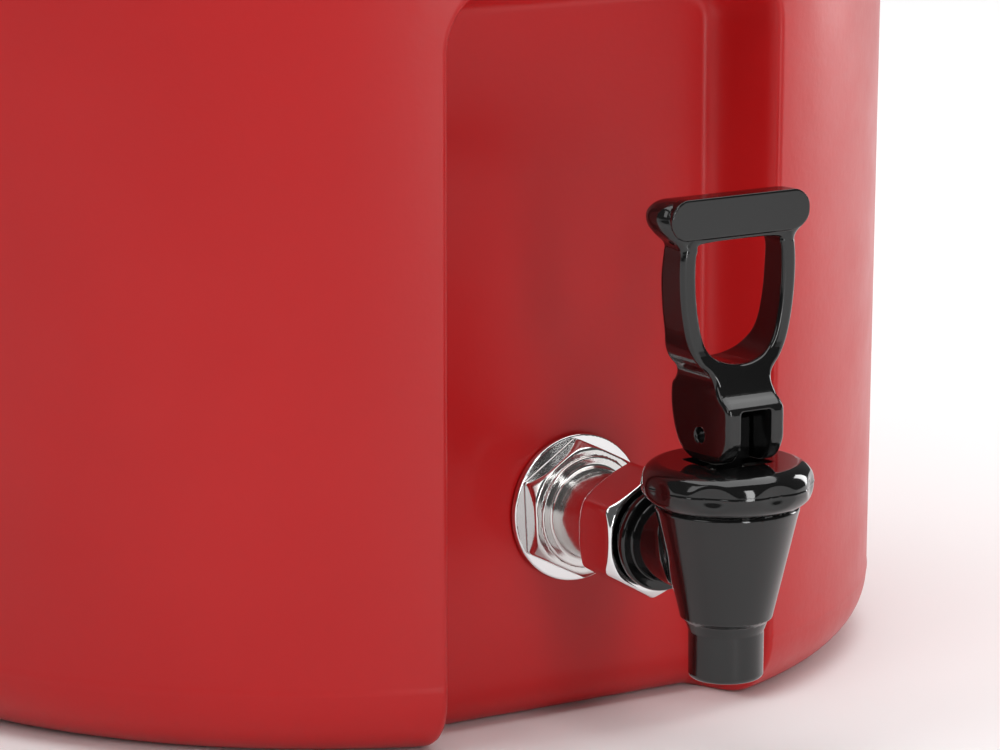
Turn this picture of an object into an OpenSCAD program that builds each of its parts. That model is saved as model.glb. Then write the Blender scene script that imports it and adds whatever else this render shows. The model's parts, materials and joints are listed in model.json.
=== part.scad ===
// Round insulated beverage dispenser with a recessed, chrome-shanked, self-closing tap.
// Millimetres. +Z is up, -Y is the front, and the origin is the middle of the flat base.

/* [Drum] */
// Radius of the drum where its base rounding ends
drum_r = 129; // [118:1:156]
// Height of the drum up to the rim that the lid rests on
drum_h = 408; // [340:1:490]
// Outward growth of the drum's radius for each millimetre of height
draft = 0.008; // [0:0.001:0.012]
// Radius that rounds the foot of the drum
base_fillet = 15; // [10:1:18]
// Thickness of the moulded skin
skin = 4.5; // [3.5:0.1:5.5]
// Full thickness of the insulated side wall
wall_t = 37; // [30:1:45]
// Height of the well's floor above the base
well_floor = 32; // [26:1:38]
// Radius that rounds the bottom of the well
well_fillet = 14; // [8:1:20]

/* [Tap recess] */
// Depth of the recess, from the front of the drum to its flat floor
recess_depth = 23.6; // [18:0.2:29]
// Width of the recess's flat floor
recess_w = 73.2; // [60:0.2:88]
// Lean of the recess's side walls
recess_slant = 20; // [10:1:28]
// Height of the recess's roof above the base
recess_top = 163; // [135:1:200]
// Radius of the recess's upper corners
recess_corner = 10; // [5:1:16]
// Radius that rounds the foot of the recess's floor
toe_r = 11; // [6:1:14]

/* [Lid] */
// Height of the lid above the drum's rim
lid_t = 34; // [28:1:42]
// Depth of the lid's skirt below the rim
lid_lap = 16; // [12:1:20]
// How far the lid stands proud of the drum's side
lid_over = 2.5; // [1.5:0.5:5]
// Depth of the dish in the lid's top
dish_depth = 8; // [5:0.5:11]
// Thickness of the lid's skin
lid_skin = 3.5; // [2.5:0.5:4.5]
// How far the lid's plug reaches into the well
plug_depth = 14; // [10:1:20]

/* [Tap] */
// Height of the shank's axis above the base
tap_z = 48.5; // [44:0.5:62]
// Distance from the recess's floor to the tap's vertical axis
tap_reach = 59.5; // [54:0.5:72]
// Radius of the water way through the shank and the tap
bore_r = 6.2; // [5:0.1:7.5]
// Wall of the shank's round neck
neck_wall = 4; // [3.2:0.1:5]
// Width across the flats of the shank's hexagon
shank_af = 27.75; // [25:0.25:34]
// Wall of the coupling nut outside its thread
nut_wall = 1.9; // [1.5:0.1:3.5]
// Wall of the spout
spout_wall = 1.85; // [1.4:0.05:2.5]
// How far the bonnet stands out beyond the top of the tap's cone
bonnet_rim = 3.1; // [2:0.1:5]
// Number of grip flats round the bonnet
bonnet_flats = 8; // [6:1:12]

/* [Tap lever] */
// Width of the lever's crossbar
bar_w = 38.4; // [34:0.4:46]
// Height of the lever above the bonnet
lever_h = 58; // [50:0.5:68]
// Width of the lever's foot across its cheeks
foot_w = 14.6; // [13.8:0.1:17]
// Radius of the lever's round foot, seen from the side
foot_r = 12; // [11.6:0.1:13.4]
// Furthest forward pull of the lever
pull_angle = 55; // [30:1:60]

/* [Latches] */
// Width of a latch's arm
latch_w = 30; // [24:1:38]
// Height of the lid's catch above the latch's pivot
latch_h = 50; // [44:1:58]

/* [Carry handles] */
// Height of the carry handles' pivots above the base
carry_z = 318; // [250:1:330]
// Clear width inside a carry handle
carry_w = 78; // [65:1:94]
// Length of a carry handle from its pivot to its grip
carry_drop = 38; // [34:1:46]
// Radius of a carry handle's grip
grip_r = 8; // [6:0.5:9]

/* [Hidden] */
$fn = 72;

// Gap left between pieces that only rest near each other
ease = 0.3;
// Radial clearance of a shaft that turns or slides in a bore
run = 0.06;
// Length by which a cut runs past the solid it cuts
over = 1;

well_r = drum_r - wall_t;
step_z = drum_h - lid_lap;
spigot_in = 7;
top_r = drum_side(step_z);
spigot_r = top_r - spigot_in;
lid_r = top_r + lid_over;
lid_top = drum_h + lid_t;
plug_r = well_r - 1.5;
gasket_in = well_r + 6;
gasket_w = 10;
gasket_t = 3;
lid_seat = drum_h + 1;

floor_y = drum_r - recess_depth;
tap_y = -(floor_y + tap_reach);
tail_r = bore_r + 2.8;
sleeve_r = tail_r + 10;
tail_clear = 0.4;
inner_flat = well_r + 0.2;

// Distances from the recess's floor along the shank
gasket_s = 0.6;
washer_s = 2.2;
hex_s = 6.5;
neck_s = tap_reach - 38;
thread_s = neck_s + 3.8;
seal_s = thread_s + 1.5;
tail_s = seal_s + 2.5;
lip_s = tail_s + 1.7;
nut_s = lip_s + 2.6;
neck_r = bore_r + neck_wall;
thread_r = neck_r + 0.5;
nut_af = 2 * (thread_r + nut_wall);
spigot_tap_r = bore_r + 2.9;
flange_r = thread_r - 0.3;
ring_r = nut_af / 2 - 0.9;
washer_r = shank_af / sqrt(3) + 0.7;

// Heights along the tap's axis, counted from the shank's axis
spout_z = -25.4;
cone_foot_z = -12;
cone_top_z = 12.3;
thread_top_z = 18.8;
bonnet_foot_z = 12.6;
bonnet_wide_z = 17.5;
bonnet_top_z = 21.8;
spout_r = bore_r + spout_wall;
cone_foot_r = bore_r + 3.85;
chamber_r = bore_r + 3.4;
cap_thread_r = chamber_r + 3.8;
cone_top_r = cap_thread_r + 2;
bonnet_r = cone_top_r + bonnet_rim;
seat_z = -6;
stem_r = 3.1;
stem_head = 6.6;
pin_above = 6;
pin_r = 1.5;
pin_wall = 1.5;
slot_w = 7.7;
slot_top = 12;
slot_back = 5.4;
lever_foot_z = bonnet_top_z + ease;
lever_pin_z = lever_foot_z + pin_above;
foot_front = 10;
foot_back = 11.2;
bar_front = 4;
bar_back = 6.3;
shoulder_z = 16.3;
hole_z = 23.6;
bar_h = 8;
leg_w = 3.5;

latch_pivot_z = drum_h + 12 - latch_h;
latch_u = lid_r + 11;
latch_t = 4.8;
latch_pin_r = 1.6;
catch_z = latch_pivot_z + latch_h;
catch_out = 8;

carry_u = drum_side(carry_z) + 10.5;
carry_arm_t = 7;
carry_lug_t = 8;
carry_pin_r = 2.6;
carry_plate_t = 4;

screw_r = 1.7;
screw_head_r = 3.4;
screw_head_h = 2;
screw_bite = 3.2;

vent_r = 8;
vent_flange_r = 13;
vent_bore = 3.5;

// Radius of the drum's side at height z
function drum_side(z) = drum_r + draft * (z - base_fillet);

// Points along an arc, centre c, radius r, from angle a0 to a1
function arc(c, r, a0, a1, n = 8) =
    [for (i = [0:n]) c + r * [cos(a0 + (a1 - a0) * i / n), sin(a0 + (a1 - a0) * i / n)]];

// A cylinder that lies along Y, from the recess's floor plane outward, between distances s0 and s1
module along_shank(r, s0, s1, sides = $fn) {
    translate([0, -floor_y - s0, tap_z]) rotate([90, 0, 0]) cylinder(r = r, h = s1 - s0, $fn = sides);
}

// A hexagonal bar along the shank with both ends chamfered
module hex_along_shank(af, s0, s1, turn, chamfer) {
    corner_r = af / sqrt(3);
    translate([0, -floor_y - s0, tap_z]) rotate([90, 0, 0]) intersection() {
        rotate([0, 0, turn]) cylinder(r = corner_r, h = s1 - s0, $fn = 6);
        rotate_extrude() polygon([[0, 0], [af / 2, 0], [corner_r + 0.01, chamfer],
            [corner_r + 0.01, s1 - s0 - chamfer], [af / 2, s1 - s0], [0, s1 - s0]]);
    }
}

// Children built facing +X are turned to face front, back, left or right
module facing(side) {
    turn = side == "front" ? -90 : side == "back" ? 90 : side == "left" ? 180 : 0;
    rotate([0, 0, turn]) children();
}

// ---------------------------------------------------------------- drum

module drum_outline() {
    polygon(concat([[0, 0]],
        arc([drum_r - base_fillet, base_fillet], base_fillet, -90, 0),
        [[top_r, step_z], [spigot_r, step_z], [spigot_r, drum_h - 1.5],
        [spigot_r - 1.5, drum_h], [0, drum_h]]));
}

module well_outline() {
    polygon(concat([[0, well_floor]],
        arc([well_r - well_fillet, well_floor + well_fillet], well_fillet, -90, 0),
        [[well_r, drum_h + over], [0, drum_h + over]]));
}

// The liner with its rim flange, which is welded to the top of the shell
module liner_outline() {
    polygon(concat([[0, well_floor - skin]],
        arc([well_r - well_fillet, well_floor + well_fillet], well_fillet + skin, -90, 0),
        [[well_r + skin, drum_h - skin], [spigot_r, drum_h - skin], [spigot_r, drum_h - 1.5],
        [spigot_r - 1.5, drum_h], [0, drum_h]]));
}

// The space between the two skins, drawn in by g
module foam_outline(g) {
    s = skin + g;
    polygon(concat([[0, s]],
        arc([drum_r - base_fillet, base_fillet], base_fillet - s, -90, 0),
        [[top_r - s, step_z - s], [spigot_r - s, step_z - s],
        [spigot_r - s, drum_h - s], [well_r + s, drum_h - s]],
        arc([well_r - well_fillet, well_floor + well_fillet], well_fillet + s, 0, -90),
        [[0, well_floor - s]]));
}

// The recess for the tap, grown by g on every side
module recess_cut(g) {
    lean = tan(recess_slant);
    side_g = g / cos(recess_slant);
    back_y = floor_y - g;
    far_y = drum_r + 20;
    half_back = recess_w / 2 - g * lean + side_g;
    half_far = recess_w / 2 + (far_y - floor_y) * lean + side_g;
    rim_half = recess_w / 2 + (recess_depth - 7.4) * lean + side_g;
    roof_back = recess_top - g * lean + side_g;
    roof_far = recess_top + (far_y - floor_y) * lean + side_g;
    roof_rim = recess_top + (recess_depth - 7.4) * lean + side_g;
    corner = recess_corner + g;
    intersection() {
        translate([0, 0, -over]) linear_extrude(roof_far + 2 * over)
            polygon([[-half_back, -back_y], [half_back, -back_y], [half_far, -far_y], [-half_far, -far_y]]);
        translate([-drum_r, 0, 0]) rotate([90, 0, 90]) linear_extrude(2 * drum_r)
            polygon([[-back_y, -over], [-back_y, roof_back], [-far_y, roof_far], [-far_y, -over]]);
        translate([0, -back_y + over, 0]) rotate([90, 0, 0]) linear_extrude(far_y)
            polygon(concat([[-half_far, -over], [half_far, -over], [half_far, roof_rim - corner - over],
                [rim_half, roof_rim - corner]],
                arc([rim_half - corner, roof_rim - corner], corner, 0, 90),
                arc([corner - rim_half, roof_rim - corner], corner, 90, 180),
                [[-half_far, roof_rim - corner - over]]));
    }
}

// Rounds the bottom edge of the recess's floor
module toe_cut() {
    half = recess_w / 2;
    difference() {
        translate([-half, -floor_y - over, -over]) cube([2 * half, toe_r + over, toe_r + over]);
        translate([-half - over, -floor_y + toe_r, toe_r]) rotate([0, 90, 0])
            cylinder(r = toe_r, h = 2 * half + 2 * over);
    }
}

module foam_space(g) {
    difference() {
        rotate_extrude() foam_outline(g);
        recess_cut(skin + g);
        along_shank(sleeve_r + g, -wall_t, recess_depth);
        foam_plug_holes(g + 2.5, skin + 6);
    }
}

// Two ports in the base through which the foam is poured
module foam_plug_holes(grow, depth) {
    for (x = [-1, 1]) translate([x * drum_r * 0.45, 0, -over]) cylinder(r = 9 + grow, h = depth + over);
}

module drum_screw_holes() {
    for (side = ["front", "back"]) facing(side) latch_screw_places() screw_hole();
    for (side = ["left", "right"]) facing(side) carry_screw_places() screw_hole();
}

// The flat seat inside the well for the shank's inner gasket
module shank_seat() {
    translate([0, -inner_flat, tap_z]) rotate([-90, 0, 0]) cylinder(r = sleeve_r - 2, h = inner_flat / 3);
}

module drum_shell() {
    color("firebrick") difference() {
        rotate_extrude() drum_outline();
        rotate_extrude() liner_outline();
        recess_cut(0);
        toe_cut();
        foam_space(0);
        foam_plug_holes(0, skin + 2);
        along_shank(tail_r + tail_clear, -wall_t, recess_depth);
        shank_seat();
        drum_screw_holes();
    }
}

module drum_liner() {
    color("firebrick") difference() {
        rotate_extrude() liner_outline();
        rotate_extrude() well_outline();
        along_shank(tail_r + tail_clear, -wall_t, recess_depth);
        shank_seat();
    }
}

module drum_foam() {
    color("khaki") foam_space(ease);
}

module foam_plugs() {
    color("firebrick") for (x = [-1, 1]) translate([x * drum_r * 0.45, 0, 0.6]) {
        cylinder(r = 9 - run, h = skin);
        translate([0, 0, -0.4]) cylinder(r1 = 7.6, r2 = 8, h = 0.4);
    }
}

// ---------------------------------------------------------------- lid

module lid_outline() {
    dish_r = lid_r - 31;
    polygon(concat([[vent_r + 0.2, lid_top - dish_depth], [vent_r + 0.2, drum_h - plug_depth],
        [plug_r - 3, drum_h - plug_depth], [plug_r, drum_h - plug_depth + 3], [plug_r, lid_seat],
        [gasket_in, lid_seat], [gasket_in, drum_h + gasket_t], [gasket_in + gasket_w, drum_h + gasket_t],
        [gasket_in + gasket_w, lid_seat], [spigot_r + 0.7, lid_seat], [spigot_r + 0.7, step_z + 0.5],
        [lid_r - 1.5, step_z + 0.5], [lid_r, step_z + 2]],
        arc([lid_r - 12, lid_top - 12], 12, 0, 90),
        [[dish_r + 6, lid_top], [dish_r, lid_top - dish_depth]]));
}

// The hollow inside the lid, drawn in by g
module lid_hollow(g) {
    s = lid_skin + g;
    dish_r = lid_r - 31;
    polygon(concat([[vent_flange_r + g, drum_h - plug_depth + s], [plug_r - 2 - s, drum_h - plug_depth + s],
        [plug_r - s, drum_h - plug_depth + 2 + s], [plug_r - s, drum_h + gasket_t + s],
        [lid_r - s, drum_h + gasket_t + s]],
        arc([lid_r - 12, lid_top - 12], 12 - s, 0, 90),
        [[dish_r + 6 + s / 2, lid_top - s], [dish_r + s / 2, lid_top - dish_depth - s],
        [vent_flange_r + g, lid_top - dish_depth - s]]));
}

module lid_screw_holes() {
    for (side = ["front", "back"]) facing(side) catch_screw_places() screw_hole();
}

// The lid's pan is what lies inside the drum's spigot and below the hollow
module lid_pan_space() {
    square([spigot_r + 0.7, drum_h + gasket_t + lid_skin]);
}

module lid_shell() {
    color("firebrick") difference() {
        rotate_extrude() difference() {
            lid_outline();
            lid_pan_space();
        }
        rotate_extrude() lid_hollow(0);
        lid_screw_holes();
    }
}

module lid_pan() {
    color("firebrick") difference() {
        rotate_extrude() intersection() {
            lid_outline();
            lid_pan_space();
        }
        rotate_extrude() lid_hollow(0);
    }
}

module lid_foam() {
    color("khaki") rotate_extrude() lid_hollow(ease);
}

module lid_gasket() {
    color("gainsboro") translate([0, 0, drum_h]) difference() {
        cylinder(r = gasket_in + gasket_w - ease, h = gasket_t);
        translate([0, 0, -over]) cylinder(r = gasket_in + ease, h = gasket_t + 2 * over);
    }
}

vent_top = lid_top - dish_depth;

module vent_bush() {
    color("dimgray") rotate_extrude() polygon([[vent_bore, drum_h - plug_depth - 8],
        [vent_r, drum_h - plug_depth - 8], [vent_r, vent_top], [vent_flange_r, vent_top],
        [vent_flange_r, vent_top + 2.5], [vent_r - 1, vent_top + 2.5], [vent_r - 1, vent_top + 8],
        [vent_bore, vent_top + 8]]);
}

module vent_nut() {
    color("dimgray") translate([0, 0, drum_h - plug_depth - 5]) difference() {
        cylinder(r = 13, h = 5, $fn = 6);
        translate([0, 0, -over]) cylinder(r = vent_r + run, h = 5 + 2 * over);
    }
}

module vent_seal() {
    color("gainsboro") translate([0, 0, vent_top + 8]) cylinder(r = vent_r - 1.2, h = 1.5);
}

module vent_cap() {
    foot = vent_top + 2.8;
    ribs = 12;
    color("black") difference() {
        rotate_extrude() polygon(concat([[0, vent_top + 9.5], [vent_r - 1 + run, vent_top + 9.5],
            [vent_r - 1 + run, foot], [16, foot]],
            arc([13, vent_top + 11], 3, 0, 90), [[0, vent_top + 14]]));
        for (i = [0:ribs - 1]) rotate([0, 0, 360 * i / ribs]) translate([18.2, 0, foot - over])
            cylinder(r = 3.2, h = 20);
    }
}

// ---------------------------------------------------------------- screws, latches and catches

// A pan-head screw along -X whose head sits at the origin
module screw() {
    rotate([0, -90, 0]) cylinder(r = screw_r, h = screw_length);
    rotate([0, 90, 0]) cylinder(r1 = screw_head_r, r2 = screw_head_r - 0.8, h = screw_head_h);
}

screw_length = 7.5;

// The blind hole that a screw cuts, in the frame of the screw
module screw_hole() {
    rotate([0, -90, 0]) translate([0, 0, -over]) cylinder(r = screw_r + run, h = screw_length + over + 0.2);
}

// Screw places on a bracket, in the frame that faces +X
module latch_screw_places() {
    for (w = [-1, 1])
        translate([drum_side(latch_pivot_z) + 4, w * latch_w * 0.3, latch_pivot_z - 14]) children();
}

module latch_bracket(side) {
    plate_w = latch_w + 14;
    face_u = drum_side(latch_pivot_z) + 4;
    ear_t = 5;
    color("#202020") facing(side) difference() {
        union() {
            translate([face_u - 14, -plate_w / 2, latch_pivot_z - 20]) cube([14, plate_w, 28]);
            for (w = [-1, 1]) translate([0, w * (latch_w / 2 + 0.5 + ear_t / 2), latch_pivot_z]) {
                translate([face_u - 4, -ear_t / 2, -5.5]) cube([latch_u - face_u + 4, ear_t, 11]);
                translate([latch_u, ear_t / 2, 0]) rotate([90, 0, 0]) cylinder(r = 5.5, h = ear_t);
            }
        }
        cylinder(r = drum_side(latch_pivot_z + 8) + 0.2, h = drum_h, $fn = 360);
        translate([latch_u, plate_w, latch_pivot_z]) rotate([90, 0, 0])
            cylinder(r = latch_pin_r + 0.02, h = 2 * plate_w);
        latch_screw_places() screw_hole();
    }
}

module latch_pin(side) {
    len = latch_w + 12;
    color("silver") facing(side) translate([latch_u, len / 2, latch_pivot_z]) rotate([90, 0, 0])
        cylinder(r = latch_pin_r, h = len);
}

// The arm as it stands when it is closed, with its pivot at the origin and its lip towards -X
module latch_arm_closed() {
    half = latch_t / 2;
    difference() {
        union() {
            translate([0, latch_w / 2, 0]) rotate([90, 0, 0]) cylinder(r = 4.6, h = latch_w);
            translate([-half, -latch_w / 2, 0]) cube([latch_t, latch_w, latch_h + 5]);
            translate([-half - 5.5, -latch_w / 2 + 2, latch_h + 0.5]) cube([6, latch_w - 4, 4.5]);
            translate([0, latch_w / 2, 0]) rotate([90, 0, 0]) linear_extrude(latch_w)
                polygon([[0, latch_h - 4], [0, latch_h + 5], [8.5, latch_h + 9], [8.5, latch_h + 5.5]]);
        }
        translate([0, latch_w, 0]) rotate([90, 0, 0]) cylinder(r = latch_pin_r + run, h = 2 * latch_w);
        for (w = [-1, 1]) translate([half - 1.2, w * latch_w * 0.22 - 2, 10]) cube([2, 4, latch_h - 22]);
    }
}

// The arm hangs straight down when it is open
module latch_arm(side) {
    color("#202020") facing(side) translate([latch_u, 0, latch_pivot_z]) rotate([0, 180, 0])
        latch_arm_closed();
}

module latch_screws(side) {
    color("silver") facing(side) latch_screw_places() screw();
}

module catch_screw_places() {
    for (w = [-1, 1]) translate([lid_r + 3, w * latch_w * 0.33, drum_h - 1]) children();
}

module catch(side) {
    plate_w = latch_w + 4;
    plate_z = drum_h - 7;
    color("#202020") facing(side) difference() {
        union() {
            translate([lid_r - 6, -plate_w / 2, plate_z]) cube([9, plate_w, catch_z - plate_z]);
            translate([lid_r - 6, -latch_w / 2 + 1, catch_z - 5]) cube([6 + catch_out, latch_w - 2, 5]);
        }
        cylinder(r = lid_r + 0.2, h = lid_top + 10, $fn = 360);
        catch_screw_places() screw_hole();
    }
}

module catch_screws(side) {
    color("silver") facing(side) catch_screw_places() screw();
}

// ---------------------------------------------------------------- carry handles

carry_lug_w = carry_w / 2 + carry_arm_t + 0.5;
carry_plate_w = carry_lug_w + carry_lug_t;

module carry_screw_places() {
    for (a = [-1, 1], z = [-1, 1]) rotate([0, 0, a * 11])
        translate([drum_side(carry_z) + carry_plate_t, 0, carry_z + z * 9]) children();
}

module carry_bracket(side) {
    plate_h = 32;
    color("#202020") facing(side) difference() {
        union() {
            intersection() {
                translate([0, 0, carry_z - plate_h / 2])
                    cylinder(r = drum_side(carry_z) + carry_plate_t, h = plate_h, $fn = 360);
                translate([0, -carry_plate_w, carry_z - plate_h / 2])
                    cube([drum_r * 2, 2 * carry_plate_w, plate_h]);
            }
            for (w = [-1, 1]) translate([0, w * (carry_lug_w + carry_lug_t / 2), carry_z]) {
                translate([drum_r * 0.8, -carry_lug_t / 2, -8])
                    cube([carry_u - drum_r * 0.8, carry_lug_t, 16]);
                translate([carry_u, carry_lug_t / 2, 0]) rotate([90, 0, 0])
                    cylinder(r = 8, h = carry_lug_t);
            }
        }
        cylinder(r = drum_side(carry_z + plate_h / 2) + 0.2, h = drum_h, $fn = 360);
        translate([carry_u, drum_r, carry_z]) rotate([90, 0, 0])
            cylinder(r = carry_pin_r + 0.02, h = 2 * drum_r);
        carry_screw_places() screw_hole();
    }
}

// The handle hangs straight down from its pivots
module carry_handle(side) {
    outer = carry_w / 2 + carry_arm_t;
    color("#202020") facing(side) translate([carry_u, 0, carry_z]) difference() {
        union() {
            for (w = [-1, 1]) translate([0, w * (outer - carry_arm_t / 2), 0]) {
                translate([0, carry_arm_t / 2, 0]) rotate([90, 0, 0]) cylinder(r = 7, h = carry_arm_t);
                translate([-5, -carry_arm_t / 2, -carry_drop]) cube([10, carry_arm_t, carry_drop]);
            }
            translate([0, outer, -carry_drop]) rotate([90, 0, 0]) cylinder(r = grip_r, h = 2 * outer);
        }
        translate([0, drum_r, 0]) rotate([90, 0, 0]) cylinder(r = carry_pin_r + run, h = 2 * drum_r);
    }
}

module carry_pins(side) {
    len = carry_arm_t + 0.5 + carry_lug_t + 1;
    color("silver") facing(side) for (w = [-1, 1])
        translate([carry_u, w * (carry_w / 2 + len / 2) + len / 2, carry_z]) rotate([90, 0, 0])
            cylinder(r = carry_pin_r, h = len);
}

module carry_screws(side) {
    color("silver") facing(side) carry_screw_places() screw();
}

// ---------------------------------------------------------------- shank and coupling

module shank() {
    color("silver") difference() {
        union() {
            along_shank(tail_r, -wall_t + 11, washer_s);
            hex_along_shank(shank_af, washer_s, hex_s, 3, 1.4);
            along_shank(shank_af / 2 - 1.4, washer_s, hex_s + 0.4);
            along_shank(neck_r, hex_s, neck_s);
            along_shank(thread_r, neck_s, thread_s);
        }
        along_shank(bore_r, -wall_t, thread_s + over);
    }
}

module flange_washer() {
    color("silver") difference() {
        union() {
            along_shank(washer_r, gasket_s, washer_s - 0.7);
            along_shank(washer_r - 0.8, gasket_s, washer_s);
        }
        along_shank(tail_r + tail_clear, 0, washer_s + over);
    }
}

module ring_along_shank(r, hole_r, s0, s1) {
    difference() {
        along_shank(r, s0, s1);
        along_shank(hole_r, s0 - over, s1 + over);
    }
}

wall_s = -(floor_y - inner_flat);

module outer_gasket() {
    color("#303030") ring_along_shank(washer_r - 0.7, tail_r + tail_clear, 0, gasket_s);
}

module inner_gasket() {
    color("gainsboro") ring_along_shank(tail_r + 6.5, tail_r + tail_clear, wall_s - 2, wall_s);
}

module inner_nut() {
    color("silver") difference() {
        hex_along_shank(3 * tail_r, wall_s - 8, wall_s - 2, 0, 1.2);
        along_shank(tail_r + run, wall_s - 9, wall_s);
    }
}

module coupling_nut() {
    color("silver") difference() {
        hex_along_shank(nut_af, neck_s - 0.2, nut_s, 30, 1.1);
        along_shank(thread_r + run, neck_s - over, tail_s + 0.2);
        along_shank(spigot_tap_r + 0.3, tail_s, nut_s);
        along_shank(ring_r + 0.15, lip_s, nut_s + over);
    }
}

module seat_washer() {
    color("#303030") ring_along_shank(flange_r, bore_r, thread_s, seal_s);
}

module thrust_ring() {
    color("black") difference() {
        union() {
            ring_along_shank(ring_r, spigot_tap_r + 0.15, lip_s, nut_s - 0.9);
            ring_along_shank(ring_r - 0.9, spigot_tap_r + 0.15, nut_s - 0.9, nut_s - 0.2);
        }
    }
}

// ---------------------------------------------------------------- tap

// Children are placed with the tap's vertical axis as Z and the shank's axis at height 0
module at_tap() {
    translate([0, tap_y, tap_z]) children();
}

module tap_body() {
    color("black") difference() {
        union() {
            at_tap() rotate_extrude() polygon(concat(
                [[0, spout_z], [spout_r - 1, spout_z], [spout_r, spout_z + 1], [spout_r, cone_foot_z - 2]],
                [[cone_foot_r - 0.8, cone_foot_z - 1.4], [cone_foot_r, cone_foot_z],
                [cone_top_r, cone_top_z], [cap_thread_r, cone_top_z], [cap_thread_r, thread_top_z],
                [0, thread_top_z]]));
            along_shank(spigot_tap_r, seal_s, tap_reach);
            along_shank(flange_r, seal_s, tail_s);
        }
        at_tap() rotate_extrude() polygon([[0, spout_z - over], [bore_r, spout_z - over],
            [bore_r, seat_z - 2], [chamber_r - 1.5, seat_z + 1], [chamber_r, seat_z + 3],
            [chamber_r, thread_top_z + over], [0, thread_top_z + over]]);
        along_shank(bore_r, 0, tap_reach);
    }
}

module bonnet() {
    flat_r = (bonnet_r - 0.9) / cos(180 / bonnet_flats);
    color("black") at_tap() difference() {
        intersection() {
            rotate_extrude() polygon(concat([[0, bonnet_foot_z], [bonnet_r - 3, bonnet_foot_z]],
                arc([bonnet_r - 3.6, bonnet_wide_z - 0.7], 4.2, -80, -12, 6),
                arc([bonnet_r - 4.2, bonnet_wide_z], 4.2, 0, 80, 6),
                [[bonnet_r - 4.2, bonnet_top_z], [0, bonnet_top_z]]));
            rotate([0, 0, 180 / bonnet_flats + 90]) translate([0, 0, bonnet_foot_z - over])
                cylinder(r = flat_r, h = 12, $fn = bonnet_flats);
        }
        translate([0, 0, bonnet_foot_z - over])
            cylinder(r = cap_thread_r + run, h = thread_top_z + 0.3 - bonnet_foot_z + over);
        cylinder(r = stem_r + 0.25, h = 40);
    }
}

module bonnet_gasket() {
    color("gainsboro") at_tap() translate([0, 0, thread_top_z - 1.2]) difference() {
        cylinder(r = chamber_r - 0.1, h = 1.2);
        translate([0, 0, -over]) cylinder(r = stem_r + 0.4, h = 4);
    }
}

module valve_stem() {
    head_top = lever_pin_z + 3.3;
    color("black") at_tap() difference() {
        union() {
            translate([0, 0, seat_z + 2]) cylinder(r = stem_r, h = bonnet_top_z + 1 - seat_z);
            translate([0, 0, seat_z + 7]) cylinder(r = spring_r + 0.9, h = 1.6);
            translate([-stem_head / 2, -stem_r, bonnet_top_z + 0.8])
                cube([stem_head, 2 * stem_r, head_top - bonnet_top_z - 0.8]);
        }
        translate([-stem_head, 0, lever_pin_z]) rotate([0, 90, 0])
            cylinder(r = pin_r + run, h = 2 * stem_head);
    }
}

module seat_cup() {
    color("gainsboro") at_tap() difference() {
        rotate_extrude() polygon([[0, seat_z - 1.2], [bore_r, seat_z - 1.2], [chamber_r - 2, seat_z + 0.9],
            [chamber_r - 2, seat_z + 6.9], [0, seat_z + 6.9]]);
        translate([0, 0, seat_z + 1.9]) cylinder(r = stem_r + 0.05, h = 12);
    }
}

spring_wire = 0.5;
spring_r = 4.7;
spring_foot = seat_z + 8.6 + spring_wire + 0.1;
spring_head = thread_top_z - 1.3 - spring_wire;
spring_turns = 4;
spring_sides = 8;
spring_steps = 16;

function spring_point(i) = [spring_r * cos(360 * i / spring_steps), spring_r * sin(360 * i / spring_steps),
    spring_foot + (spring_head - spring_foot) * i / (spring_turns * spring_steps)];
function spring_ring(i) = let(p = spring_point(i), a = 360 * i / spring_steps)
    [for (k = [0:spring_sides - 1]) let(b = 360 * k / spring_sides)
        p + spring_wire * [cos(b) * cos(a), cos(b) * sin(a), sin(b)]];

module valve_spring() {
    last = spring_turns * spring_steps;
    points = [for (i = [0:last]) each spring_ring(i)];
    sides = [for (i = [0:last - 1], k = [0:spring_sides - 1]) let(n = (k + 1) % spring_sides)
        [i * spring_sides + k, (i + 1) * spring_sides + k, (i + 1) * spring_sides + n, i * spring_sides + n]];
    ends = [[for (k = [0:spring_sides - 1]) k],
        [for (k = [spring_sides - 1:-1:0]) last * spring_sides + k]];
    color("silver") at_tap() polyhedron(points, concat(sides, ends), convexity = 6);
}

// ---------------------------------------------------------------- tap lever

// Half widths of the finger hole at fractions of its height
hole_shape = [[2.6, 0], [5, 0.05], [7, 0.15], [9, 0.34], [11, 0.6], [12.4, 0.84], [12.2, 0.95], [10.8, 1]];

function hole_point(p, grow = 0) = [p[0] + grow, hole_z + p[1] * (lever_h - bar_h - hole_z)];
function mirrored(points) = concat(points, [for (i = [len(points) - 1:-1:0]) [-points[i][0], points[i][1]]]);

// The lever seen from the front: foot, waist, two legs round the finger hole, and the crossbar
module lever_front() {
    end_r = 4.5;
    legs = [for (i = [2:5]) hole_point(hole_shape[i], leg_w)];
    difference() {
        polygon(mirrored(concat([[foot_w / 2, 0], [foot_w / 2, shoulder_z], [foot_w / 2 + 1.4, shoulder_z + 3],
            [foot_w / 2 + 2.2, hole_z]], legs, [[bar_w / 2 - 1.6, lever_h - bar_h - 1]],
            arc([bar_w / 2 - end_r, lever_h - end_r], end_r, 0, 90))));
        polygon(mirrored([for (p = hole_shape) hole_point(p)]));
    }
}

// The lever's outline seen from its right side, with its round foot
module lever_profile() {
    polygon(concat(
        arc([0, foot_r], foot_r, 270 - asin(foot_front / foot_r), 270 + asin(foot_back / foot_r), 16),
        [[foot_back, shoulder_z], [foot_back - 0.8, shoulder_z + 1.6], [bar_back, hole_z],
        [bar_back, lever_h - 1.5], [bar_back - 1.5, lever_h], [1.5 - bar_front, lever_h],
        [-bar_front, lever_h - 1.5], [-bar_front, hole_z], [-foot_front, shoulder_z]]));
}

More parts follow.
